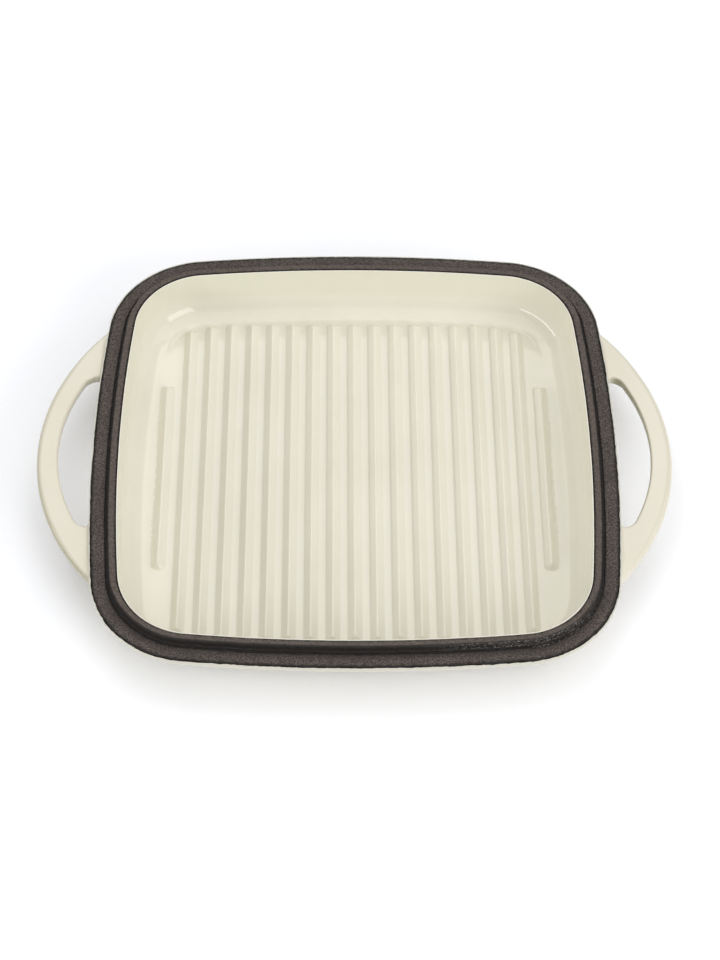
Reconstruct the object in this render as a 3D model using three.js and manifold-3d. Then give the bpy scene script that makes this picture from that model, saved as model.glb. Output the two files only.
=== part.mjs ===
import * as THREE from 'three';
import * as BufferGeometryUtils from 'three/addons/utils/BufferGeometryUtils.js';
import Module from 'manifold-3d';

// Square two-handled grill pan: one ribbed iron casting with enamel fired on it.
// Millimetres, +Z up, +X along the handles, origin at the centre of the sole.

// plan outline of the enamel's edge at the rim
const RIM_HALF = 130;          // centre to the middle of a side
const CORNER_R = 49.9;
const SIDE_R = 858;            // the sides bow outward on this radius
const CORNER_STEPS = 7;
const SIDE_STEPS = 4;

// heights
const LAND_Z = 29;             // flat outer land of the rim
const LIP_Z = 32.6;            // top of the raised inner lip
const FLOOR_Z = 6;             // enamel floor between the ribs
const ENAMEL = 0.45;
const GAP = 0.3;
const IRON_BASE_Z = ENAMEL + GAP;

// inside wall: p is the distance inward from the plan outline
const LIP_P = 13.45;           // enamel face at the lip
const TAPER = Math.tan(4.5 * Math.PI / 180);
const INNER_FILLET_R = 12.4;
const ENAMEL_TOP_Z = LIP_Z - 0.35;

// outside wall, flange and sole
const WALL_T = 4.5;
const OUTER_FILLET_R = 16;
const FLANGE_OUT = 0.5;        // enamel stands this far outside the outline
const FLANGE_EDGE_TOP = LAND_Z - 0.55;
const FLANGE_BOTTOM = LAND_Z - 4.1;
const FLANGE_EDGE_R = 2.2;

// ribs
const RIB_PITCH = 10.71;
const RIB_H = 3;
const RIB_HALF_BASE = 3.5;
const RIB_HALF_CREST = 0.66;
const RIB_NOSE = 2.4;          // length of the slope at a rib's end, for a drop of 4
// where the crest ends, by distance from the middle rib; the outermost ribs are short
const RIB_ENDS = [98.8, 98.8, 98.8, 98.8, 98.8, 98.8, 98.8, 97.4, 93.8, 56];

// loop handles
const HANDLE_REACH = 158;
const HANDLE_R = 116.6;        // outer arc in plan
const HANDLE_TOP = LAND_Z - 2;
const HANDLE_BOTTOM = LAND_Z - 8.5;
const HANDLE_EDGE_R = 1.3;     // top edges
const HANDLE_BELLY = 1.7;      // how far in the rounded underside turns
const HANDLE_ROOT_Y = 80;
const HANDLE_ROOT_X = 105;
const HOLE_REACH = 147.4;
const HOLE_R = 95;
const HOLE_END_Y = 47.4;
const HOLE_SHIFT = 0.7;        // the hole sits this far behind the middle
const HOLE_CORNER_R = 7;

const wasm = await Module();
wasm.setup();

// ---------------------------------------------------------------- outlines

const arc = (cx, cy, r, a0, a1, n) =>
  new THREE.ArcCurve(cx, cy, r, a0, a1, a1 < a0).getPoints(n);

const sideC = RIM_HALF - SIDE_R;
const cornerC = (() => {
  const k = SIDE_R - CORNER_R;
  return (sideC + Math.sqrt(2 * k * k - sideC * sideC)) / 2;
})();
const sideA = Math.atan2(cornerC, cornerC - sideC);

// rounded, slightly bowed square, p inside the rim's plan outline
function outline(p) {
  const pts = [];
  for (let q = 0; q < 4; q++) {
    const turn = q * Math.PI / 2;
    const run = [
      ...arc(sideC, 0, SIDE_R - p, -sideA, sideA, SIDE_STEPS).slice(0, -1),
      ...arc(cornerC, cornerC, CORNER_R - p, sideA, Math.PI / 2 - sideA, CORNER_STEPS).slice(0, -1),
    ];
    for (const v of run) pts.push(v.rotateAround(new THREE.Vector2(), turn));
  }
  return pts;
}

// plan of one loop handle on +X, drawn `inset` inside its outer faces
function handleOutline(inset) {
  const r = HANDLE_R - inset;
  const c = HANDLE_REACH - HANDLE_R;
  const y1 = HANDLE_ROOT_Y - inset;
  const a1 = Math.asin(y1 / r);
  const hr = HOLE_R + inset;
  const hc = HOLE_REACH - HOLE_R;
  const cr = HOLE_CORNER_R + inset;
  const endY = HOLE_END_Y + inset;
  const ky = endY - cr;
  const kx = hc + Math.sqrt((hr - cr) ** 2 - ky * ky);
  const ka = Math.atan2(ky, kx - hc);
  const x0 = HANDLE_ROOT_X;
  return [
    new THREE.Vector2(x0, -y1),
    ...arc(c, 0, r, -a1, a1, 18),
    new THREE.Vector2(x0, y1),
    ...[
      new THREE.Vector2(x0, endY),
      ...arc(kx, ky, cr, Math.PI / 2, ka, 4),
      ...arc(hc, 0, hr, ka, -ka, 12).slice(1, -1),
      ...arc(kx, -ky, cr, -ka, -Math.PI / 2, 4),
      new THREE.Vector2(x0, -endY),
    ].map((v) => v.setY(v.y + HOLE_SHIFT)),
  ];
}

// ------------------------------------------------------------------ solids

// closed skin through rings of equal length, capped at both ends
function loft(rings, flat) {
  const n = rings[0].length;
  const pos = [];
  const index = [];
  for (const ring of rings) for (const v of ring) pos.push(v.x, v.y, v.z);
  for (let k = 0; k + 1 < rings.length; k++) {
    for (let i = 0; i < n; i++) {
      const a = k * n + i, b = k * n + (i + 1) % n, c = a + n, d = b + n;
      index.push(a, b, d, a, d, c);
    }
  }
  const last = (rings.length - 1) * n;
  for (const [a, b, c] of THREE.ShapeUtils.triangulateShape(rings[0].map(flat), [])) index.push(a, c, b);
  for (const [a, b, c] of THREE.ShapeUtils.triangulateShape(rings[rings.length - 1].map(flat), [])) index.push(last + a, last + b, last + c);
  const g = new THREE.BufferGeometry();
  g.setAttribute('position', new THREE.Float32BufferAttribute(pos, 3));
  g.setIndex(index);
  return g;
}

const planRing = (pts, z) => pts.map((v) => new THREE.Vector3(v.x, v.y, z));
const planFlat = (v) => new THREE.Vector2(v.x, v.y);
const panLoft = (profile) => loft(profile.map(([p, z]) => planRing(outline(p), z)), planFlat);

function solid(geometry) {
  const g = geometry.clone();
  for (const name of Object.keys(g.attributes)) if (name !== 'position') g.deleteAttribute(name);
  const m = BufferGeometryUtils.mergeVertices(g, 1e-4);
  const s = new wasm.Manifold(new wasm.Mesh({
    numProp: 3,
    vertProperties: new Float32Array(m.attributes.position.array),
    triVerts: new Uint32Array(m.index.array),
  }));
  return s.volume() < 0 ? solid(flip(m)) : s;
}

function flip(g) {
  const f = g.clone();
  const a = f.index.array;
  for (let i = 0; i < a.length; i += 3) [a[i + 1], a[i + 2]] = [a[i + 2], a[i + 1]];
  return f;
}

function toGeometry(s) {
  const m = s.getMesh();
  const g = new THREE.BufferGeometry();
  g.setAttribute('position', new THREE.Float32BufferAttribute(Float32Array.from(m.vertProperties), 3));
  g.setIndex(new THREE.BufferAttribute(Uint32Array.from(m.triVerts), 1));
  return g;
}

// --------------------------------------------------------------- the profile

// inside face, from the lip down to the flat floor, pushed `back` into the wall
function insideProfile(back, topZ) {
  const s = Math.sin(Math.atan(TAPER)), c = Math.cos(Math.atan(TAPER));
  const fz = FLOOR_Z + INNER_FILLET_R;
  const tz = fz - INNER_FILLET_R * s;
  const tp = LIP_P + TAPER * (LIP_Z - tz);
  const fp = tp + INNER_FILLET_R * c;
  const at = (z) => LIP_P + TAPER * (LIP_Z - z) - back / c;
  const out = [[at(topZ), topZ], [at(fz - (INNER_FILLET_R + back) * s), fz - (INNER_FILLET_R + back) * s]];
  const a0 = Math.atan(TAPER);
  for (let i = 1; i <= 6; i++) {
    const a = a0 + (Math.PI / 2 - a0) * i / 6;
    out.push([fp - (INNER_FILLET_R + back) * Math.cos(a), fz - (INNER_FILLET_R + back) * Math.sin(a)]);
  }
  return out;
}

// outside face, from the sole up to the flange's edge, pushed `back` into the iron
function outsideProfile(back) {
  const t = Math.atan(TAPER), s = Math.sin(t), c = Math.cos(t);
  const wall = (z) => LIP_P + TAPER * (LIP_Z - z) - WALL_T / c;
  const fz = OUTER_FILLET_R;
  const fp = wall(fz - OUTER_FILLET_R * s) + OUTER_FILLET_R * c;
  const r = OUTER_FILLET_R - back;
  const out = [];
  for (let i = 0; i <= 5; i++) {
    const a = Math.PI / 2 + (t - Math.PI / 2) * i / 5;
    out.push([fp - r * Math.cos(a), fz - r * Math.sin(a)]);
  }
  // wall to the underside of the flange
  const wz = LAND_Z - 10;
  out.push([wall(wz) + back / c, wz]);
  out.push([wall(wz) - 0.5 + back * 0.98, wz + 2.2 + back * 0.2]);
  out.push([wall(wz) - 1.8 + back * 0.85, wz + 4 + back * 0.55]);
  out.push([wall(wz) - 4.3 + back * 0.3, FLANGE_BOTTOM - 0.6 + back * 0.95]);
  const er = FLANGE_EDGE_R - back;
  const ep = FLANGE_EDGE_R - FLANGE_OUT, ez = FLANGE_BOTTOM + FLANGE_EDGE_R;
  for (let i = 0; i <= 3; i++) {
    const a = Math.PI / 2 * (1 - i / 3);
    out.push([ep - er * Math.cos(a), ez - er * Math.sin(a)]);
  }
  return out;
}

// ------------------------------------------------------------------- ribs

function ribGeometry(x, end, back) {
  const lift = RIB_H - 0.3;
  const run = RIB_HALF_BASE - RIB_HALF_CREST;
  const side = back / Math.sin(Math.atan2(lift, run));
  const crest = FLOOR_Z + RIB_H - back;
  const shoulder = FLOOR_Z + lift - back;
  const hs = Math.max(0.3, RIB_HALF_CREST - side * 0.35);
  const foot = RIB_HALF_BASE - side + run / lift;
  const low = FLOOR_Z - 1;
  const section = (drop) => [
    [-foot, -3], [foot, -3], [foot, low - drop], [hs, shoulder - drop], [hs * 0.35, crest - drop],
    [-hs * 0.35, crest - drop], [-hs, shoulder - drop], [-foot, low - drop],
  ];
  const stop = end - back * 0.6;
  const rings = [[-stop - RIB_NOSE, 4], [-stop, 0], [stop, 0], [stop + RIB_NOSE, 4]]
    .map(([y, drop]) => section(drop).map(([u, z]) => new THREE.Vector3(x + u, y, z)));
  return loft(rings, (v) => new THREE.Vector2(v.x, v.z));
}

function ribs(back) {
  const list = [];
  const n = RIB_ENDS.length - 1;
  for (let k = -n; k <= n; k++) list.push(solid(ribGeometry(k * RIB_PITCH, RIB_ENDS[Math.abs(k)], back)));
  return wasm.Manifold.union(list);
}

// ----------------------------------------------------------------- handles

function handle(inset, side) {
  const re = Math.max(0.5, HANDLE_EDGE_R - inset), turn = HANDLE_BELLY - inset;
  const z0 = HANDLE_BOTTOM + inset, z1 = HANDLE_TOP - inset;
  const belly = z1 - re - z0;
  const levels = [];
  for (let i = 0; i <= 4; i++) {
    const a = Math.PI / 2 * i / 4;
    levels.push([turn * (1 - Math.sin(a)), z0 + belly * (1 - Math.cos(a))]);
  }
  for (let i = 1; i <= 3; i++) {
    const a = Math.PI / 2 * (1 - i / 3);
    levels.push([re * (1 - Math.sin(a)), z1 - re * (1 - Math.cos(a))]);
  }
  const g = loft(levels.map(([d, z]) => planRing(handleOutline(inset + d), z)), planFlat);
  if (side < 0) g.scale(-1, 1, 1);
  return solid(g);
}

// ---------------------------------------------------------------- assembly

const air = (back, ribBack) => solid(panLoft([...insideProfile(back, LIP_Z + 12)].reverse()))
  .subtract(ribs(ribBack));

// iron: outside, stepped rim, inside
const ironOutside = outsideProfile(ENAMEL + GAP);
const rimProfile = [
  [0.3, LAND_Z - 0.5], [0.8, LAND_Z], [7.3, LAND_Z], [8.3, LAND_Z + 0.35],
  [9.2, LIP_Z - 0.6], [9.8, LIP_Z], [12.25, LIP_Z],
];
const ironBody = solid(panLoft([...ironOutside, ...rimProfile]));
const core = [handle(ENAMEL + GAP, 1), handle(ENAMEL + GAP, -1)];
const ironCasting = wasm.Manifold.union([ironBody, ...core]).subtract(air(ENAMEL + GAP, ENAMEL + GAP));

// enamel inside
const lined = solid(panLoft([...insideProfile(ENAMEL, ENAMEL_TOP_Z)].reverse())).subtract(ribs(ENAMEL));
const interiorEnamel = lined.subtract(air(0, 0));

// enamel outside, with a window where each handle joins
const outsideFace = outsideProfile(0);
const cutAt = (profile, z) => {
  const i = profile.findIndex((q) => q[1] > z);
  const [a, b] = [profile[i - 1], profile[i]];
  const f = (z - a[1]) / (b[1] - a[1]);
  return [[a[0] + f * (b[0] - a[0]), z], ...profile.slice(i)];
};
const skirt = solid(panLoft([...cutAt(outsideFace, IRON_BASE_Z), [-FLANGE_OUT, FLANGE_EDGE_TOP]]));
const backing = outsideProfile(ENAMEL);
const backVolume = solid(panLoft([
  [backing[0][0], -4], ...backing, [-FLANGE_OUT + ENAMEL, LAND_Z + 4],
]));
const exteriorEnamel = skirt.subtract(backVolume).subtract(handle(-GAP, 1)).subtract(handle(-GAP, -1));

// enamel on the sole
const soleStop = cutAt(outsideFace, ENAMEL)[0];
const baseEnamel = solid(panLoft([outsideFace[0], [outsideFace[1][0], outsideFace[1][1]], soleStop]
  .filter((q, i, all) => i === 0 || q[1] > all[i - 1][1] + 1e-3 || i === all.length - 1)
  .filter((q) => q[1] <= ENAMEL + 1e-6)));

// enamel on the handles
const sleeve = (side) => handle(0, side).subtract(handle(ENAMEL, side)).subtract(backVolume);

const ironMaterial = () => new THREE.MeshStandardMaterial({ color: 0x4d4844, roughness: 0.62, metalness: 0.55 });
const enamelMaterial = () => new THREE.MeshStandardMaterial({ color: 0xe6dfcb, roughness: 0.22, metalness: 0 });

const group = new THREE.Group();
function add(name, s, material) {
  const mesh = new THREE.Mesh(toGeometry(s), material);
  mesh.name = name;
  group.add(mesh);
}
add('iron_casting', ironCasting, ironMaterial());
add('interior_enamel', interiorEnamel, enamelMaterial());
add('exterior_enamel', exteriorEnamel, enamelMaterial());
add('base_enamel', baseEnamel, enamelMaterial());
add('left_handle_enamel', sleeve(-1), enamelMaterial());
add('right_handle_enamel', sleeve(1), enamelMaterial());

export default group;
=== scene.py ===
import math

import bpy
import numpy as np
from mathutils import Matrix, Vector
from mathutils.geometry import delaunay_2d_cdt


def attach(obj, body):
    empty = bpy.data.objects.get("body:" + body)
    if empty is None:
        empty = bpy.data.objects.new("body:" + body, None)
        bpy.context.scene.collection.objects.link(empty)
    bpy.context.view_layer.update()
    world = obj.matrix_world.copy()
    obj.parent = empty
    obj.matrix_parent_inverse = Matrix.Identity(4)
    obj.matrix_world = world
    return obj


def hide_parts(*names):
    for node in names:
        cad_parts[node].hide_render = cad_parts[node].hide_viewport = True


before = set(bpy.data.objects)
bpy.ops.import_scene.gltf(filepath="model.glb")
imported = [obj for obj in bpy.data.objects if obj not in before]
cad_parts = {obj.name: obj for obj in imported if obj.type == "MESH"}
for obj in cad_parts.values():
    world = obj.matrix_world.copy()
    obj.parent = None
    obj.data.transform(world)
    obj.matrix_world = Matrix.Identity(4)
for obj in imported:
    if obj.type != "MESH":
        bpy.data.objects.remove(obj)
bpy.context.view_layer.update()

# Square two-handled grill pan of enamelled cast iron, as finished surfaces.
# All shapes are worked out in millimetres in the part's frame: the origin is the
# centre of the sole, +X runs along the handles, -Y is the front and +Z is up.
# p is the distance inward from the rim's plan outline.

MM = 0.001
rng = np.random.default_rng(20)

# plan outline
RIM_HALF, CORNER_R, SIDE_R = 130.0, 49.9, 858.0
SIDE_C = RIM_HALF - SIDE_R
_k = SIDE_R - CORNER_R
CORNER_C = (SIDE_C + math.sqrt(2 * _k * _k - SIDE_C * SIDE_C)) / 2
SIDE_A = math.atan2(CORNER_C, CORNER_C - SIDE_C)

# heights and coats
LAND_Z, LIP_Z, FLOOR_Z = 29.0, 32.6, 6.0
ENAMEL, GAP = 0.45, 0.3
BACK = ENAMEL + GAP

# inside and outside walls
LIP_P, TILT = 13.45, math.radians(4.5)
TAPER = math.tan(TILT)
INNER_R, OUTER_R, WALL_T = 12.4, 16.0, 4.5
FLANGE_OUT, EDGE_R = 0.5, 2.2
EDGE_C = (EDGE_R - FLANGE_OUT, LAND_Z - 4.1 + EDGE_R)

# ribs
PITCH, RIB_H, RIB_FOOT, RIB_SLOPE, RIB_NOSE = 10.71, 3.0, 3.5, 0.95, 1.3
RIB_ENDS = [98.8] * 7 + [97.4, 93.8, 56.0]      # of the crest, by distance from the middle rib

# handles
HOLE_SHIFT = 0.7
REACH, HANDLE_R, ROOT_Y, ROOT_X = 158.0, 116.6, 80.0, 106.0
HANDLE_TOP, HANDLE_BOTTOM, HANDLE_EDGE, HANDLE_ROUND = LAND_Z - 2.0, LAND_Z - 8.5, 1.2, 1.7
HANDLE_SOFT = 1.5  # the outer top edge is rounder than the one round the hole
HOLE_REACH, HOLE_R, HOLE_END, HOLE_CORNER = 147.4, 95.0, 47.4, 7.0


# ---------------------------------------------------------------- helpers

def smax(a, b, k):
    h = np.maximum(k - np.abs(a - b), 0.0) / k
    return np.maximum(a, b) + h * h * k / 4


def smin(a, b, k):
    return -smax(-a, -b, k)


def step(x, lo, hi):
    t = np.clip((x - lo) / (hi - lo), 0.0, 1.0)
    return t * t * (3 - 2 * t)


def inset(x, y):
    """Distance inward from the plan outline."""
    x, y = np.abs(x), np.abs(y)
    big, small = np.maximum(x, y), np.minimum(x, y)
    on_side = np.arctan2(small, big - SIDE_C) <= SIDE_A
    return np.where(
        on_side,
        SIDE_R - np.hypot(big - SIDE_C, small),
        CORNER_R - np.hypot(big - CORNER_C, small - CORNER_C),
    )


class Outline:
    """Points spaced evenly round the plan outline, anticlockwise from +X."""

    def __init__(self, count, at=6.0):
        side = SIDE_A * (SIDE_R - at)
        eighth = side + (math.pi / 4 - SIDE_A) * (CORNER_R - at)
        s = np.arange(count) / count * 8 * eighth
        q = np.floor((s + eighth) / (2 * eighth))
        t = s - q * 2 * eighth
        turn = q * math.pi / 2
        mid = np.abs(t) <= side
        over = np.sign(t) * (SIDE_A + (np.abs(t) - side) / (CORNER_R - at))
        angle = np.where(mid, t / (SIDE_R - at), over)
        cx = np.where(mid, SIDE_C, CORNER_C)
        cy = np.where(mid, 0.0, np.sign(t) * CORNER_C)
        self.centre = np.c_[cx * np.cos(turn) - cy * np.sin(turn), cx * np.sin(turn) + cy * np.cos(turn)]
        self.radius = np.where(mid, SIDE_R, CORNER_R)
        self.out = np.c_[np.cos(angle + turn), np.sin(angle + turn)]
        self.count = count

    def at(self, p, z):
        p = np.broadcast_to(p, (self.count,))
        z = np.broadcast_to(z, (self.count,))
        xy = self.centre + (self.radius - p)[:, None] * self.out
        return np.c_[xy, z]


class Shell:
    """Vertices and faces of one closed surface."""

    def __init__(self):
        self.points, self.quads, self.tris, self.n = [], [], [], 0

    def add(self, pts):
        ids = np.arange(self.n, self.n + len(pts))
        self.points.append(np.asarray(pts, float))
        self.n += len(pts)
        return ids

    def band(self, a, b):
        a2, b2 = np.roll(a, -1), np.roll(b, -1)
        self.quads.append(np.c_[a, a2, b2, b])

    def halve(self, a, b):
        """Band from a ring to one with half as many points."""
        a1, a2, b2 = a[1::2], np.roll(a, -2)[0::2], np.roll(b, -1)
        a = a[0::2]
        self.tris += [np.c_[a, a1, b], np.c_[a1, b2, b], np.c_[a1, a2, b2]]

    def strip(self, a, b):
        self.quads.append(np.c_[a[:-1], a[1:], b[1:], b[:-1]])

    def arrays(self):
        quads = np.concatenate(self.quads) if self.quads else np.zeros((0, 4), int)
        tris = np.concatenate(self.tris) if self.tris else np.zeros((0, 3), int)
        return np.concatenate(self.points), quads, tris


def mesh_from(name, points, quads, tris):
    corners = np.vstack([tris, quads[:, [0, 1, 2]], quads[:, [0, 2, 3]]])
    a, b, c = points[corners[:, 0]], points[corners[:, 1]], points[corners[:, 2]]
    if np.einsum("ij,ij->", a, np.cross(b, c)) < 0:
        quads, tris = quads[:, ::-1], tris[:, ::-1]
    mesh = bpy.data.meshes.new(name)
    mesh.vertices.add(len(points))
    mesh.vertices.foreach_set("co", (points * MM).astype(np.float32).ravel())
    nq, nt = len(quads), len(tris)
    mesh.loops.add(4 * nq + 3 * nt)
    mesh.loops.foreach_set("vertex_index", np.concatenate([quads.ravel(), tris.ravel()]).astype(np.int32))
    mesh.polygons.add(nq + nt)
    starts = np.concatenate([np.arange(nq) * 4, 4 * nq + np.arange(nt) * 3])
    mesh.polygons.foreach_set("loop_start", starts.astype(np.int32))
    mesh.update(calc_edges=True)
    mesh.validate()
    return mesh


def combine(name, first, *others):
    """first, then each (mesh, operation) in turn, as one new mesh."""
    for other, operation in others:
        a = bpy.data.objects.new("tmp_a", first)
        b = bpy.data.objects.new("tmp_b", other)
        for o in (a, b):
            bpy.context.scene.collection.objects.link(o)
        mod = a.modifiers.new("cut", "BOOLEAN")
        mod.object, mod.operation, mod.solver = b, operation, "MANIFOLD"
        graph = bpy.context.evaluated_depsgraph_get()
        first = bpy.data.meshes.new_from_object(a.evaluated_get(graph))
        for o in (a, b):
            bpy.data.objects.remove(o)
    first.name = name
    return first


def verts_of(mesh):
    co = np.empty(len(mesh.vertices) * 3, np.float32)
    mesh.vertices.foreach_get("co", co)
    return co.reshape(-1, 3).astype(float) / MM


def normals_of(mesh):
    n = np.empty(len(mesh.vertices) * 3)
    mesh.vertex_normals.foreach_get("vector", n)
    return n.reshape(-1, 3)


def attribute(mesh, name, values):
    layer = mesh.attributes.new(name, "FLOAT", "POINT")
    layer.data.foreach_set("value", np.asarray(values, np.float32))


def rounded(corners, grain, turn=15.0):
    """Polyline (p, z) through corners of (p, z, radius), with its straight runs cut to grain."""
    c = [np.array(v[:2], float) for v in corners]
    r = [v[2] if len(v) > 2 else 0.0 for v in corners]
    out = [c[0]]
    for i in range(1, len(c)):
        if i == len(c) - 1 or r[i] == 0:
            pieces = [c[i]]
        else:
            u, v = c[i - 1] - c[i], c[i + 1] - c[i]
            u, v = u / np.hypot(*u), v / np.hypot(*v)
            half = math.acos(np.clip(u @ v, -1, 1)) / 2
            cut = r[i] / math.tan(half)
            centre = c[i] + (u + v) / np.hypot(*(u + v)) * (r[i] / math.sin(half))
            a, b = c[i] + u * cut - centre, c[i] + v * cut - centre
            sweep = math.pi - 2 * half
            n = max(2, round(math.degrees(sweep) / turn))
            side = np.sign(a[0] * b[1] - a[1] * b[0])
            pieces = []
            for j in range(n + 1):
                t = side * sweep * j / n
                pieces.append(centre + [a[0] * math.cos(t) - a[1] * math.sin(t), a[0] * math.sin(t) + a[1] * math.cos(t)])
        run = pieces[0] - out[-1]
        n = max(1, math.ceil(np.hypot(*run) / grain - 1e-6))
        start = out[-1]
        out += [start + run * j / n for j in range(1, n)] + pieces
    return np.array(out)


def ring_noise(rows, cols, soft_rows, soft_cols):
    a = rng.standard_normal((rows, cols))
    for _ in range(soft_cols):
        a = a / 2 + (np.roll(a, 1, 1) + np.roll(a, -1, 1)) / 4
    for _ in range(soft_rows):
        up, down = np.vstack([a[:1], a[:-1]]), np.vstack([a[1:], a[-1:]])
        a = a / 2 + (up + down) / 4
    return a / a.std()


# ----------------------------------------------------------- surface shapes

FILLET_Z = FLOOR_Z + INNER_R
JOIN = 27.9
FILLET_P = LIP_P + TAPER * (LIP_Z - (FILLET_Z - INNER_R * math.sin(TILT))) + INNER_R * math.cos(TILT)


def wall_p(z, back=0.0):
    return LIP_P + TAPER * (LIP_Z - z) - back / math.cos(TILT)


def bowl(x, y, back=0.0):
    """Height of the inside face without its ribs."""
    p = inset(x, y)
    r = INNER_R + back
    wall = LIP_Z - (p + back / math.cos(TILT) - LIP_P) / TAPER
    t = FILLET_P - r * math.cos(TILT)
    curve = FILLET_Z - np.sqrt(np.maximum(r * r - np.clip(FILLET_P - p, 0, r) ** 2, 0))
    z = np.where(p < t, wall, curve)
    # faint step along the foot of the front and back walls
    ax, ay = np.abs(x), np.abs(y)
    at = 23.9 + 3.4 * (ax / 96) ** 7
    return z + 0.3 * (1 - step(p, at - 0.4, at + 0.4)) * step(p, 17.5, 22.0) * (1 - step(ax, 93.0, 98.0)) * (ay > 60)


def floor_height(x, y, back=0.0):
    """Height of the inside face, ribs included."""
    z = bowl(x, y, back)
    k = np.clip(np.round(x / PITCH), -9, 9)
    end = np.array(RIB_ENDS)[np.abs(k).astype(int)]
    u, v = np.abs(x - k * PITCH), np.abs(y) - end + 0.6 * back
    blunt = np.where(y > 0, 6.0, 2.3)
    d = (u ** blunt + np.maximum(v * RIB_NOSE / RIB_SLOPE + 0.4, 0) ** blunt) ** (1 / blunt)
    rib = smin(np.full_like(d, RIB_H - back), (RIB_FOOT - back * 1.4 - d) * RIB_SLOPE, 0.4)
    return smax(z, FLOOR_Z + rib, 0.25)


def fill(shell, ring, xy, xs, ys, limit, margin, height):
    """Triangles over the ring's inside, on a grid laid along the ribs."""
    gx, gy = np.meshgrid(xs, ys, indexing="ij")
    keep = inset(gx, gy) > limit + margin
    inner = np.c_[gx[keep], gy[keep]]
    pts = np.vstack([xy, inner])
    n = len(xy)
    edges = [(i, (i + 1) % n) for i in range(n)]
    got = delaunay_2d_cdt([Vector(q) for q in pts.tolist()], edges, [], 1, 1e-7)
    if len(got[0]) != len(pts):
        raise RuntimeError("the floor's points were merged")
    tris = np.array(got[2])
    ids = np.concatenate([ring, shell.add(np.c_[inner, height(inner[:, 0], inner[:, 1])])])
    a, b, c = pts[tris[:, 0]], pts[tris[:, 1]], pts[tris[:, 2]]
    area = (b[:, 0] - a[:, 0]) * (c[:, 1] - a[:, 1]) - (b[:, 1] - a[:, 1]) * (c[:, 0] - a[:, 0])
    tris[area < 0] = tris[area < 0][:, ::-1]
    return ids[tris]


def cap(shell, ring, xy, z, steps=6):
    """Flat rings from a ring to the middle, facing up."""
    last = ring
    for j in range(1, steps):
        f = 1 - j / steps
        now = shell.add(np.c_[xy * f, np.full(len(xy), z)])
        shell.band(last, now)
        last = now
    mid = shell.add([[0, 0, z]])[0]
    shell.tris.append(np.c_[last, np.roll(last, -1), np.full(len(last), mid)])


def rib_columns(fine):
    offs = [0, 0.32, 0.55, 0.75, 1.0, 1.6, 2.4, 3.0, 3.3, 3.5, 3.75, 4.3] if fine else [0, 0.5, 1.1, 2.3, 3.2, 3.8]
    xs = {0.0}
    for k in range(-9, 10):
        for o in offs:
            xs |= {round(k * PITCH + o, 4), round(k * PITCH - o, 4)}
        if k < 9:
            xs |= {round((k + 0.5) * PITCH, 4)}
    return np.array(sorted(xs))


def rib_rows(fine):
    ys = set()
    def span(lo, hi, s):
        n = max(1, round((hi - lo) / s))
        for i in range(n + 1):
            v = round(lo + (hi - lo) * i / n, 4)
            ys.update((v, -v))
    if fine:
        span(0, 55.2, 3.7); span(55.2, 59.2, 0.4); span(59.2, 92, 3.65); span(92, 102, 0.45)
    else:
        span(0, 55.2, 6.9); span(55.2, 59.2, 0.8); span(59.2, 92, 5.5); span(92, 102, 0.9)
    return np.array(sorted(ys))


# ---------------------------------------------------------- interior enamel

def interior_enamel():
    n = 720
    o = Outline(n, at=16.0)
    shell = Shell()
    rim_wave = ring_noise(1, n, 0, 3)[0] * 0.035 + ring_noise(1, n, 0, 40)[0] * 0.03
    join = JOIN
    # over the bead at the top edge, then down the wall
    bead = rounded(
        [(wall_p(30.6, ENAMEL), 30.6), (wall_p(LIP_Z, ENAMEL) + 0.02, LIP_Z - 0.28, 0.22), (wall_p(LIP_Z) + 0.12, LIP_Z - 0.28, 0.22), (wall_p(30.6), 30.6)],
        0.5, 24,
    )
    rows = [(p, z, w) for (p, z), w in zip(bead, step(bead[:, 1], 31.2, 32.2))]
    turns = [FILLET_P - INNER_R * math.cos(TILT + a) for a in np.radians(np.arange(0, 64, 6.0))]
    for p in [wall_p(z) for z in (27.0, 23, 20)] + turns + list(np.arange(23.15, join - 0.1, 0.4)) + [join]:
        rows.append((p, None, 0.0))
    rings = []
    for p, z, w in rows:
        ring = o.at(p + rim_wave * w * 0.6, 0)
        ring[:, 2] = bowl(ring[:, 0], ring[:, 1]) if z is None else z + rim_wave * w
        rings.append(shell.add(ring))
    for a, b in zip(rings, rings[1:]):
        shell.band(a, b)
    xy = o.at(join, 0)[:, :2]
    shell.points[-1][:, 2] = floor_height(xy[:, 0], xy[:, 1])

    sway = [rng.uniform(-math.pi, math.pi, 6), rng.uniform(0.04, 0.16, (6, 2)) * rng.choice([-1, 1], (6, 2))]

    def top(x, y):
        z = floor_height(x, y)
        for ph, (fx, fy) in zip(*sway):
            z = z + 0.012 * np.sin(fx * x + fy * y + ph) * step(inset(x, y), 27.5, 32)
        return z

    shell.tris.append(fill(shell, rings[-1], xy, rib_columns(True), rib_rows(True), join, 0.45, top))

    # back of the coat
    back = [rings[0]]
    for z in (25.0, 20.0):
        back.append(shell.add(o.at(wall_p(z, ENAMEL), z)))
    for p in (14.9, 15.6, 16.6, 18.0, 19.6, 21.4, 23.0, 24.0, 25.0, 26.2):
        ring = o.at(p, 0)
        ring[:, 2] = bowl(ring[:, 0], ring[:, 1], ENAMEL)
        back.append(shell.add(ring))
    ring = o.at(join, 0)
    ring[:, 2] = floor_height(ring[:, 0], ring[:, 1], ENAMEL)
    back.append(shell.add(ring))
    for a, b in zip(back, back[1:]):
        shell.band(b, a)
    tris = fill(shell, back[-1], xy, rib_columns(False), rib_rows(False), join, 0.45, lambda x, y: floor_height(x, y, ENAMEL))
    shell.tris.append(tris[:, ::-1])
    mesh = mesh_from("interior_enamel_skin", *shell.arrays())
    v = verts_of(mesh)
    # Painted highlight: the top bead of the inside enamel is coloured lighter and whiter.
    attribute(mesh, "edge", step(v[:, 2], 31.7, 32.15))
    return mesh


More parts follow.
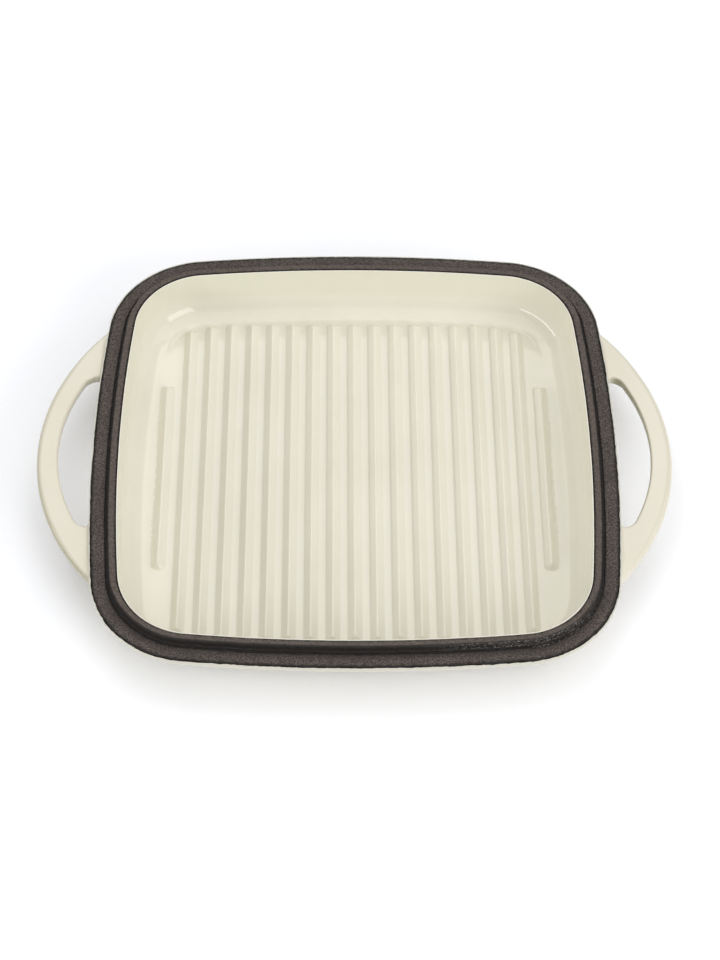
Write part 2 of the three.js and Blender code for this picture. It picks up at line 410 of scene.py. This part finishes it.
# --------------------------------------------------------- outside profiles

def outside(back=0.0, from_z=None):
    """(p, z) of the outside face from the sole up to the flange's edge, pushed back into the iron."""
    wall = lambda z: wall_p(z) - WALL_T / math.cos(TILT)
    fz = OUTER_R
    fp = wall(fz - OUTER_R * math.sin(TILT)) + OUTER_R * math.cos(TILT)
    pts = []
    for i in range(15):
        a = math.pi / 2 + (TILT - math.pi / 2) * i / 14
        pts.append((fp - OUTER_R * math.cos(a), fz - OUTER_R * math.sin(a)))
    for z in (16.0, 17.5):
        pts.append((wall(z), z))
    w = np.array((wall(19.0), 19.0))
    b = [w, w + 3.2 * np.array((-math.sin(TILT), math.cos(TILT))), np.array((8.2, 24.6)), np.array((EDGE_C[0], LAND_Z - 4.1))]
    for i in range(13):
        t = i / 12
        pts.append(tuple((1 - t) ** 3 * b[0] + 3 * t * (1 - t) ** 2 * b[1] + 3 * t * t * (1 - t) * b[2] + t ** 3 * b[3]))
    for i in range(1, 8):
        a = math.pi / 2 * (1 - i / 7)
        pts.append((EDGE_C[0] - EDGE_R * math.cos(a), EDGE_C[1] - EDGE_R * math.sin(a)))
    pts = np.array(pts)
    if back:
        along = np.gradient(pts, axis=0)
        along[0], along[-1] = (-1, 0), (0, 1)
        along /= np.hypot(*along.T)[:, None]
        pts = pts + back * np.c_[along[:, 1], -along[:, 0]]
    if from_z is not None:
        i = int(np.argmax(pts[:, 1] > from_z))
        f = (from_z - pts[i - 1, 1]) / (pts[i, 1] - pts[i - 1, 1])
        pts = np.vstack([pts[i - 1] + f * (pts[i] - pts[i - 1]), pts[i:]])
    return pts


def exterior_enamel(n=720):
    o, fine = Outline(n, at=0.0), Outline(2 * n, at=0.0)
    shell = Shell()
    wave = ring_noise(1, 2 * n, 0, 1)[0] * 0.035 + ring_noise(1, 2 * n, 0, 4)[0] * 0.035 + ring_noise(1, 2 * n, 0, 60)[0] * 0.04
    around = fine.at(0, 0)
    torn = np.exp(-((around[:, 0] - 62) / 26) ** 2) * (around[:, 1] < -100)
    wave = wave * (1 + 0.6 * torn)
    edge = LAND_Z - 0.42
    bead = rounded([(-FLANGE_OUT, EDGE_C[1]), (-FLANGE_OUT, edge, 0.22), (0.12, edge, 0.2), (ENAMEL - FLANGE_OUT, EDGE_C[1])], 0.5, 24)[1:-1]
    rings = [(shell.add(o.at(p, z)), 1) for p, z in outside(0, ENAMEL)]
    for p, z in bead:
        w = step(np.array(z), 27.7, 28.4)
        inner = step(np.array(p), -0.4, 0.1)
        rings.append((shell.add(fine.at(np.maximum(p + wave * w * (0.15 + 1.3 * inner), -FLANGE_OUT), z + 0.5 * wave * w)), 2))
    rings += [(shell.add(o.at(p, z)), 1) for p, z in outside(ENAMEL, ENAMEL + 0.3)[::-2]]
    for (a, i), (b, j) in zip(rings, rings[1:] + rings[:1]):
        if i == j:
            shell.band(a, b)
        elif i > j:
            shell.halve(a, b)
        else:
            shell.tris += [t[:, ::-1] for t in halves(shell, b, a)]
    return mesh_from("exterior_enamel_skin", *shell.arrays())


def base_enamel(n=720):
    o = Outline(n, at=0.0)
    shell = Shell()
    skin = outside(0)
    up = outside(0, ENAMEL)[0]
    rows = [skin[0]] + [q for q in skin[1:] if q[1] < ENAMEL - 0.02] + [up]
    rings = [shell.add(o.at(p, z)) for p, z in rows]
    for a, b in zip(rings, rings[1:]):
        shell.band(a, b)
    top = o.at(up[0], 0)[:, :2]
    cap(shell, rings[-1], top, ENAMEL)
    flip = Shell()
    low = o.at(skin[0][0], 0)[:, :2]
    before = len(shell.quads), len(shell.tris)
    cap(shell, rings[0], low, 0.0, 10)
    shell.quads[before[0]:] = [q[:, ::-1] for q in shell.quads[before[0]:]]
    shell.tris[before[1]:] = [t[:, ::-1] for t in shell.tris[before[1]:]]
    return mesh_from("base_enamel_skin", *shell.arrays())


def solid_of(profile, n=720, name="solid"):
    o = Outline(n, at=0.0)
    shell = Shell()
    rings = [shell.add(o.at(p, z)) for p, z in profile]
    for a, b in zip(rings, rings[1:]):
        shell.band(a, b)
    cap(shell, rings[-1], o.at(profile[-1][0], 0)[:, :2], profile[-1][1], 2)
    before = len(shell.quads), len(shell.tris)
    cap(shell, rings[0], o.at(profile[0][0], 0)[:, :2], profile[0][1], 2)
    shell.quads[before[0]:] = [q[:, ::-1] for q in shell.quads[before[0]:]]
    shell.tris[before[1]:] = [t[:, ::-1] for t in shell.tris[before[1]:]]
    return mesh_from(name, *shell.arrays())


# ------------------------------------------------------------- iron casting

def iron_body():
    n = 1080
    o, half = Outline(n, at=4.0), Outline(n // 2, at=4.0)
    shell = Shell()
    under = outside(BACK)
    rings = [shell.add(half.at(p, z)) for p, z in under[::2]] + [shell.add(half.at(*under[-1]))]
    for a, b in zip(rings, rings[1:]):
        shell.band(a, b)
    before = len(shell.quads), len(shell.tris)
    cap(shell, rings[0], half.at(under[0][0], 0)[:, :2], under[0][1], 3)
    shell.quads[before[0]:] = [q[:, ::-1] for q in shell.quads[before[0]:]]
    shell.tris[before[1]:] = [t[:, ::-1] for t in shell.tris[before[1]:]]

    rim = rounded(
        [
            (BACK - FLANGE_OUT, EDGE_C[1]), (BACK - FLANGE_OUT, LAND_Z, 0.55), (7.1, LAND_Z, 0.3), (7.5, 28.42, 0.25), (8.15, 28.42, 0.25),
            (8.34, 29.35, 0.22), (8.78, 29.5, 0.22), (9.12, LIP_Z, 0.7), (wall_p(LIP_Z, BACK), LIP_Z, 0.5), (wall_p(30.4, BACK), 30.4),
        ],
        0.66, 22,
    )
    grain = ring_noise(len(rim), n, 1, 1) * 0.022 + ring_noise(len(rim), n, 3, 5) * 0.03
    drift = ring_noise(1, n, 0, 60)[0] * 0.05
    ragged = ring_noise(1, n, 0, 2)[0] * 0.05
    ends = np.minimum(np.arange(len(rim)), np.arange(len(rim))[::-1])
    along = np.gradient(rim, axis=0)
    along /= np.hypot(*along.T)[:, None]
    out = np.c_[-along[:, 1], along[:, 0]]
    first = None
    for i, (p, z) in enumerate(rim):
        w = min(1.0, ends[i] / 3)
        push = grain[i] * w - 0.05
        dp = out[i, 0] * push + (drift + ragged) * w * (1 if 6.9 < p < 9.6 else 0.35)
        if p < 1.6:
            dp = dp + np.clip(ragged * 7 + 0.05, 0, 0.4) * w * (1 - step(p, 0.6, 1.6))
        dz = np.minimum(z + out[i, 1] * push, LIP_Z)
        ring = shell.add(o.at(p + dp, dz))
        if first is None:
            shell.tris += [t[:, ::-1] for t in halves(shell, ring, rings[-1])]
        else:
            shell.band(last, ring)
        first, last = True, ring
    # behind the inside enamel
    lower = shell.add(half.at(wall_p(27.0, BACK), 27.0))
    shell.halve(last, lower)
    last = lower
    for z in (23.0, 20.0):
        now = shell.add(half.at(wall_p(z, BACK), z))
        shell.band(last, now)
        last = now
    for p in (14.9, 15.6, 16.6, 18.0, 19.6, 21.4, 23.0, 24.0, 25.0, 26.2, JOIN):
        ring = half.at(p, 0)
        ring[:, 2] = (floor_height if p == JOIN else bowl)(ring[:, 0], ring[:, 1], BACK)
        now = shell.add(ring)
        shell.band(last, now)
        last = now
    xy = half.at(JOIN, 0)[:, :2]
    shell.tris.append(fill(shell, last, xy, rib_columns(False), rib_rows(False), JOIN, 0.45, lambda x, y: floor_height(x, y, BACK)))
    return mesh_from("iron_body", *shell.arrays())


def halves(shell, full, half):
    keep = shell.tris
    shell.tris = []
    shell.halve(full, half)
    made, shell.tris = shell.tris, keep
    return made


# ------------------------------------------------------------------ handles

def handle_solid(shrink, side, name, arc=9):
    """The loop's solid, drawn shrink inside its faces, flared where it meets the flange."""
    c, r, y1 = REACH - HANDLE_R, HANDLE_R - shrink, ROOT_Y - shrink
    a1 = math.asin(y1 / r)
    hc, hr, cr, end = HOLE_REACH - HOLE_R, HOLE_R + shrink, HOLE_CORNER + shrink, HOLE_END + shrink
    ky = end - cr
    kx = hc + math.sqrt((hr - cr) ** 2 - ky * ky)
    ka = math.atan2(ky, kx - hc)
    xr = c + r * math.cos(a1)
    x0 = ROOT_X
    st = []
    for t in (0, 0.5, 0.78, 0.86, 0.9, 0.93, 0.955, 0.98, 1.0):
        st.append(((x0 + (xr - x0) * t, -y1), (x0 + (kx - x0) * t, -end)))
    for i in range(1, 17):
        t = i / 16
        aa = -a1 + (a1 - math.radians(24.5)) * t
        ba = -math.pi / 2 + (math.pi / 2 - ka) * t
        st.append(((c + r * math.cos(aa), r * math.sin(aa)), (kx + cr * math.cos(ba), -ky + cr * math.sin(ba))))
    for i in range(1, 27):
        t = i / 26
        aa, ba = -math.radians(24.5) * (1 - t), -ka * (1 - t)
        st.append(((c + r * math.cos(aa), r * math.sin(aa)), (hc + hr * math.cos(ba), hr * math.sin(ba))))
    st += [((ax, -ay), (bx, -by)) for (ax, ay), (bx, by) in st[-2::-1]]

    z0, z1 = HANDLE_BOTTOM + shrink, HANDLE_TOP - shrink
    e, f = max(0.5, HANDLE_EDGE - shrink), HANDLE_ROUND - shrink
    turn = np.radians(np.linspace(0, 90, arc))
    shell = Shell()
    rings = []
    for (ax, ay), (bx, by) in st:
        by += HOLE_SHIFT
        w = math.hypot(ax - bx, ay - by)
        both = []
        for r1 in (e, e + HANDLE_SOFT):
            top = np.c_[r1 * (1 - np.sin(turn[::2])), z1 - r1 * (1 - np.cos(turn[::2]))]
            low = np.c_[f * (1 - np.cos(turn)), z1 - r1 - (z1 - r1 - z0) * np.sin(turn)][1:]
            both.append(np.vstack([top, low]))
        sec = np.vstack([[(w / 2, z1)], np.c_[w - both[1][:, 0], both[1][:, 1]], both[0][::-1]])
        # even spread of points over the top and the underside
        flat = []
        for i, q in enumerate(sec):
            nxt = sec[(i + 1) % len(sec)]
            flat.append(q)
            if abs(q[1] - nxt[1]) < 1e-9 and abs(q[0] - nxt[0]) > 0.2 * w:
                edge = 0.3 / abs(q[0] - nxt[0])
                flat += [q + (nxt - q) * f for f in (edge, 0.25, 0.5, 0.75, 1 - edge)]
        sec = np.array(flat)
        ux, uy = (ax - bx) / w, (ay - by) / w
        x, y, z = bx + ux * sec[:, 0], by + uy * sec[:, 0], sec[:, 1].copy()
        off = -inset(x, y) - FLANGE_OUT
        def flare(radius):
            q = np.clip(radius - off, 0, radius)
            return radius - np.sqrt(radius * radius - q * q)
        mid = (z0 + z1) / 2
        z += flare(1.1) * step(z, mid, z1)
        z -= 0.06 * (2 * sec[:, 0] / w - 1) ** 2 * step(sec[:, 1], mid, z1)
        move = flare(1.2) * step(sec[:, 0], w - 4, w) - flare(2.4) * (1 - step(sec[:, 0], 0, 4))
        x, y = x + ux * move, y + uy * move
        rings.append(shell.add(np.c_[x, y, z]))
    for a, b in zip(rings, rings[1:]):
        shell.band(a, b)
    for ring, flip in ((rings[0], True), (rings[-1], False)):
        mid = shell.add([np.mean(np.concatenate(shell.points)[ring], axis=0)])[0]
        t = np.c_[ring, np.roll(ring, -1), np.full(len(ring), mid)]
        shell.tris.append(t[:, ::-1] if flip else t)
    pts, quads, tris = shell.arrays()
    if side < 0:
        return mesh_from(name, pts * [-1, 1, 1], quads, tris)
    return mesh_from(name, pts, quads[:, ::-1], tris[:, ::-1])


# ---------------------------------------------------------------- materials

class Nodes:
    def __init__(self, name):
        self.material = bpy.data.materials.new(name)
        self.material.use_nodes = True
        self.tree = self.material.node_tree
        self.tree.nodes.clear()
        self.out = self.new("ShaderNodeOutputMaterial")
        self.shader = self.new("ShaderNodeBsdfPrincipled")
        self.link(self.shader.outputs[0], self.out.inputs[0])
        self.place = self.new("ShaderNodeTexCoord").outputs["Object"]

    def new(self, kind, **values):
        node = self.tree.nodes.new(kind)
        for k, v in values.items():
            setattr(node, k, v)
        return node

    def link(self, a, b):
        self.tree.links.new(a, b)

    def noise(self, scale, detail=2.0, rough=0.5, distort=0.0):
        n = self.new("ShaderNodeTexNoise")
        n.inputs["Scale"].default_value = scale
        n.inputs["Detail"].default_value = detail
        n.inputs["Roughness"].default_value = rough
        n.inputs["Distortion"].default_value = distort
        self.link(self.place, n.inputs["Vector"])
        return n.outputs["Fac"]

    def span(self, value, lo, hi, to_lo, to_hi):
        n = self.new("ShaderNodeMapRange")
        for key, v in (("From Min", lo), ("From Max", hi), ("To Min", to_lo), ("To Max", to_hi)):
            n.inputs[key].default_value = v
        self.link(value, n.inputs["Value"])
        return n.outputs["Result"]

    def ramp(self, value, stops):
        n = self.new("ShaderNodeValToRGB")
        while len(n.color_ramp.elements) < len(stops):
            n.color_ramp.elements.new(0.5)
        for e, (at, colour) in zip(n.color_ramp.elements, stops):
            e.position = at
            e.color = (*colour, 1)
        self.link(value, n.inputs["Fac"])
        return n.outputs["Color"]

    def mix(self, factor, a, b, how="MIX"):
        n = self.new("ShaderNodeMix", data_type="RGBA", blend_type=how)
        if hasattr(factor, "is_output"):
            self.link(factor, n.inputs[0])
        else:
            n.inputs[0].default_value = factor
        for value, socket in ((a, n.inputs[6]), (b, n.inputs[7])):
            if hasattr(value, "is_output"):
                self.link(value, socket)
            else:
                socket.default_value = (*value, 1)
        return n.outputs[2]

    def math(self, how, a, b):
        n = self.new("ShaderNodeMath", operation=how)
        for value, socket in ((a, n.inputs[0]), (b, n.inputs[1])):
            if hasattr(value, "is_output"):
                self.link(value, socket)
            else:
                socket.default_value = value
        return n.outputs[0]

    def attr(self, name):
        return self.new("ShaderNodeAttribute", attribute_name=name).outputs["Fac"]

    def bump(self, height, strength, distance, under=None):
        n = self.new("ShaderNodeBump")
        n.inputs["Strength"].default_value = strength
        n.inputs["Distance"].default_value = distance
        self.link(height, n.inputs["Height"])
        if under is not None:
            self.link(under, n.inputs["Normal"])
        return n.outputs["Normal"]


def enamel(name, tint=(0.714, 0.686, 0.577), rough=(0.03, 0.055), peel=0.2, edge=0.0, painted_shading=None):
    m = Nodes(name)
    t = np.array(tint)
    broad = m.noise(22.0, 3.0, 0.55)
    colour = m.ramp(broad, [(0.3, t * [0.972, 0.97, 0.955]), (0.7, np.minimum(t * [1.02, 1.02, 1.03], 1))])
    fine = m.noise(820.0, 2.0, 0.6)
    colour = m.mix(m.span(fine, 0.35, 0.7, 0.0, 0.16), colour, tuple(t * [0.95, 0.945, 0.91]))
    # Second tone over an attribute mask: painted light and shade, not a second enamel.
    if painted_shading:
        painted_shading_share = m.math("MULTIPLY", m.attr(painted_shading[0]), m.span(broad, 0.2, 0.8, 0.85, 1.0))
        colour = m.mix(painted_shading_share, colour, painted_shading[1])
    # Edge tone over the "edge" mask is painted light: edge=1.0 gives a lighter, whiter painted highlight, edge=0.8 a
    # darker painted shade.
    if edge:
        colour = m.mix(m.attr("edge"), colour, tuple(np.minimum(t * [1.06, 1.07, 1.1] * np.array(edge), 0.84)))
    m.link(colour, m.shader.inputs["Base Color"])
    m.link(m.span(m.noise(60.0, 4.0, 0.6), 0.3, 0.7, *rough), m.shader.inputs["Roughness"])
    n1 = m.bump(m.noise(240.0, 2.0, 0.5), 0.28 * peel, 0.0004)
    n2 = m.bump(m.noise(760.0, 1.0, 0.5), 0.22 * peel, 0.00012, n1)
    m.link(n2, m.shader.inputs["Normal"])
    m.shader.inputs["IOR"].default_value = 1.5
    return m.material


def iron(name):
    m = Nodes(name)
    blotch = m.noise(45.0, 4.0, 0.6, 0.3)
    grain = m.noise(1250.0, 4.0, 0.72)
    colour = m.ramp(blotch, [(0.32, (0.086, 0.068, 0.059)), (0.55, (0.111, 0.087, 0.074)), (0.72, (0.131, 0.101, 0.083))])
    colour = m.mix(m.span(grain, 0.42, 0.585, 0.0, 0.95), colour, (0.020, 0.016, 0.014))
    specks = m.span(m.noise(1500.0, 1.0, 0.5), 0.66, 0.74, 0.0, 0.55)
    colour = m.mix(specks, colour, (0.20, 0.18, 0.165))
    colour = m.mix(m.math("MULTIPLY", m.attr("lip"), 0.32), colour, (0.125, 0.098, 0.080))
    # The "scale" mask darkens the iron: painted shade, with some grime in the groove.
    colour = m.mix(m.attr("scale"), colour, (0.011, 0.0085, 0.0070))
    # Painted highlight: lighter specks stand in for glints on the lip's outer edge and in the groove.
    glint_specks = m.span(m.noise(1350.0, 2.0, 0.6), 0.52, 0.64, 0.0, 0.75)
    colour = m.mix(m.math("MULTIPLY", m.attr("painted_glints"), glint_specks), colour, (0.30, 0.28, 0.255))
    m.link(colour, m.shader.inputs["Base Color"])
    m.link(m.span(m.noise(400.0, 3.0, 0.6), 0.3, 0.7, 0.52, 0.78), m.shader.inputs["Roughness"])
    n1 = m.bump(m.noise(520.0, 4.0, 0.6), 0.7, 0.0006)
    n2 = m.bump(m.noise(1900.0, 2.0, 0.6), 0.5, 0.0002, n1)
    m.link(n2, m.shader.inputs["Normal"])
    m.shader.inputs["Metallic"].default_value = 0.0
    m.shader.inputs["Specular IOR Level"].default_value = 0.34
    return m.material


# ------------------------------------------------------------------- pieces

def piece(name, mesh, material, node, sharp=38.0):
    mesh.materials.clear()
    mesh.materials.append(material)
    mesh.polygons.foreach_set("use_smooth", np.ones(len(mesh.polygons), bool))
    mesh.set_sharp_from_angle(angle=math.radians(sharp))
    mesh.update()
    o = bpy.data.objects.new(name, mesh)
    bpy.context.scene.collection.objects.link(o)
    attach(o, "root")
    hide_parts(node)
    return o


# Painted light: the "wall" tone of the inside enamel is a lighter copy of its colour, laid on the walls.
inside_look = enamel("ivory_enamel_inside", edge=1.0, painted_shading=("wall", (0.766, 0.753, 0.632)))
# Painted light: the outside, sole and handle tints are darker copies of the inside tint, though it is one enamel,
# standing in for the difference in light inside and outside the pan.
outside_look = enamel("ivory_enamel_outside", (0.66, 0.63, 0.528), edge=0.8)
base_look = enamel("ivory_enamel_sole", (0.67, 0.645, 0.54), (0.2, 0.36), 0.8)
# Painted shade: the handles' "side" tone is a dark olive copy of their colour, on faces turned towards -X.
handle_look = enamel("ivory_enamel_handle", (0.661, 0.620, 0.511), painted_shading=("side", (0.375, 0.354, 0.236)))
iron_look = iron("bare_cast_iron")

lining = interior_enamel()
# Painted light: the inside walls above the floor's fillet get a lighter copy of the enamel colour.
attribute(lining, "wall", step(verts_of(lining)[:, 2], 8.0, 17.0))
piece("interior_enamel_skin", lining, inside_look, "interior_enamel")

sides = {"right": 1, "left": -1}
outer = {s: handle_solid(0.0, d, "outer_" + s) for s, d in sides.items()}
inner = {s: handle_solid(ENAMEL, d, "inner_" + s) for s, d in sides.items()}
core = {s: handle_solid(BACK, d, "core_" + s, 5) for s, d in sides.items()}

skirt = exterior_enamel()
skirt = combine("exterior_enamel_skin", skirt, (outer["right"], "DIFFERENCE"), (outer["left"], "DIFFERENCE"))
# Painted shade: the outside enamel's band up to the flange's edge is coloured darker (edge=0.8).
attribute(skirt, "edge", step(verts_of(skirt)[:, 2], 26.2, 27.6))
piece("exterior_enamel_skin", skirt, outside_look, "exterior_enamel")

piece("base_enamel_skin", base_enamel(), base_look, "base_enamel")

backing = outside(ENAMEL)
backing = np.vstack([[(backing[0][0], -3.0)], backing, [(ENAMEL - FLANGE_OUT, LAND_Z + 3)]])
for s in sides:
    sleeve = combine(s + "_handle_enamel_skin", outer[s], (inner[s], "DIFFERENCE"), (solid_of(backing), "DIFFERENCE"))
    # Painted shade: sleeve faces turned towards -X and not upward get the dark olive tone, standing in for the weak
    # light from the left.
    facing = normals_of(sleeve)
    painted_shading_share = step(-facing[:, 0], 0.05, 0.5)
    attribute(sleeve, "side", painted_shading_share * (1 - step(facing[:, 2], 0.55, 0.99)))
    piece(s + "_handle_enamel_skin", sleeve, handle_look, s + "_handle_enamel")

hollow = [(wall_p(z, 1.6), z) for z in (2.0, 40.0)]
hollow = solid_of(hollow, name="hollow")
roots = [combine("root", core[s], (hollow, "DIFFERENCE")) for s in sides]
casting = combine("iron_casting_body", iron_body(), (roots[0], "UNION"), (roots[1], "UNION"))
v = verts_of(casting)
p = inset(v[:, 0], v[:, 1])
wob = np.sin(v[:, 0] * 1.7 + 3 * np.sin(v[:, 1] * 0.9)) * 0.2 + np.sin(v[:, 1] * 2.3 + 2 * np.sin(v[:, 0] * 1.1)) * 0.2
front = step(-v[:, 1], 70, 110)
# Painted shade on the iron (the "scale" mask): darker along the outer edge, at the join with the inside enamel, in the
# groove and on the step face (with some grime in the groove), and on the front land behind the lip, a painted shadow
# of the lip.
painted_shade_and_grime = 1 - step(p + wob, 0.95, 1.75)
painted_shade_and_grime = np.maximum(painted_shade_and_grime, step(p + 0.4 * wob, 12.15, 12.45))
painted_shade_and_grime = np.maximum(painted_shade_and_grime, 0.94 * (step(p + 0.5 * wob, 6.6, 7.4) - step(p + 0.3 * wob - 0.8 * front, 9.0, 9.5)))
painted_shade_and_grime = np.maximum(painted_shade_and_grime, 0.58 * step(p, 2.8, 7.0) * (1 - step(p, 8.0, 9.0)) * front)
attribute(casting, "scale", np.clip(painted_shade_and_grime, 0, 1))
# Painted highlight: glints painted as lighter specks along the lip's edge and the groove, on the front right only.
glint = front * step(v[:, 0], 25, 70) * (1 - step(v[:, 0], 108, 122))
lines = 0.75 * (step(p, 8.4, 8.7) - step(p, 9.3, 9.7)) * glint
lines = lines + (step(p, 7.2, 7.5) - step(p, 8.0, 8.3)) * front * step(v[:, 0], 78, 92) * (1 - step(v[:, 0], 116, 122))
attribute(casting, "painted_glints", lines)
attribute(casting, "lip", step(p, 9.3, 9.8) * (1 - step(p, 12.1, 12.4)))
piece("iron_casting_body", casting, iron_look, "iron_casting")


# ------------------------------------------------------------ floor and light

stage = bpy.data.meshes.new("studio_floor")
stage.from_pydata([(-4, -4, -0.0003), (4, -4, -0.0003), (4, 4, -0.0003), (-4, 4, -0.0003)], [], [(0, 1, 2, 3)])
floor = bpy.data.objects.new("studio_floor", stage)
bpy.context.scene.collection.objects.link(floor)
white = Nodes("studio_white")
white.shader.inputs["Base Color"].default_value = (0.962, 0.970, 1.0, 1)
white.shader.inputs["Roughness"].default_value = 0.9
white.shader.inputs["Specular IOR Level"].default_value = 0.0
stage.materials.append(white.material)

scene = bpy.context.scene
scene.view_settings.view_transform = "Standard"
scene.view_settings.look = "None"
scene.view_settings.exposure = 0.0
scene.view_settings.gamma = 1.0

world = bpy.data.worlds.new("studio")
world.use_nodes = True
world.node_tree.nodes["Background"].inputs["Color"].default_value = (1.0, 1.0, 1.0, 1)
world.node_tree.nodes["Background"].inputs["Strength"].default_value = 0.385
scene.world = world


def lamp(name, place, aim, size, radiance, colour=(1, 1, 1)):
    """A rectangular soft box of the given radiance, facing aim."""
    light = bpy.data.lights.new(name, "AREA")
    light.shape = "RECTANGLE"
    light.size, light.size_y = size
    light.energy = radiance * math.pi * size[0] * size[1]
    light.color = colour
    o = bpy.data.objects.new(name, light)
    o.location = place
    o.rotation_euler = (Vector(aim) - Vector(place)).to_track_quat("-Z", "Y").to_euler()
    o.visible_camera = False
    scene.collection.objects.link(o)
    return o


lamp("back_strip", (-0.32, 1.82, 2.36), (0, 0, 0), (2.7, 0.85), 1.78)
lamp("top_panel", (-0.16, 0.91, 2.85), (0, 0, 0), (2.3, 0.98), 0.8)
lamp("over", (0, -0.5, 2.7), (0, -0.5, 0), (4.0, 3.4), 0.9)
lamp("right_top", (1.9, 0.35, 1.5), (0, 0, 0), (1.5, 1.2), 0.85)
lamp("front_key", (1.52, -1.51, 1.05), (-0.09, 0.1, 0.01), (1.75, 1.25), 3.65)
lamp("left_strip", (-2.22, -0.99, 0.61), (0.09, 0.1, 0.01), (3.5, 0.34), 5.8)

# ------------------------------------------------------------------- camera

el, az, roll, dist = 0.8999, -0.0143, -0.0131, 1181.16
back = Vector((math.sin(az) * math.cos(el), -math.cos(az) * math.cos(el), math.sin(el)))
right = Vector((math.cos(az), math.sin(az), 0))
up = back.cross(right)
data = bpy.data.cameras.new("camera")
data.sensor_fit, data.sensor_width = "AUTO", 36.0
data.lens = 2376.07 / 960 * 36
data.shift_x, data.shift_y = 5.23 / 960, -31.99 / 960
data.clip_start, data.clip_end = 0.05, 30
camera = bpy.data.objects.new("camera", data)
x_axis = right * math.cos(roll) - up * math.sin(roll)
y_axis = right * math.sin(roll) + up * math.cos(roll)
place = (Vector((0, 0, LAND_Z)) + back * dist) * MM
rot = Matrix((x_axis, y_axis, back)).transposed().to_4x4()
camera.matrix_world = Matrix.Translation(place) @ rot
scene.collection.objects.link(camera)
scene.camera = camera

bpy.context.view_layer.update()
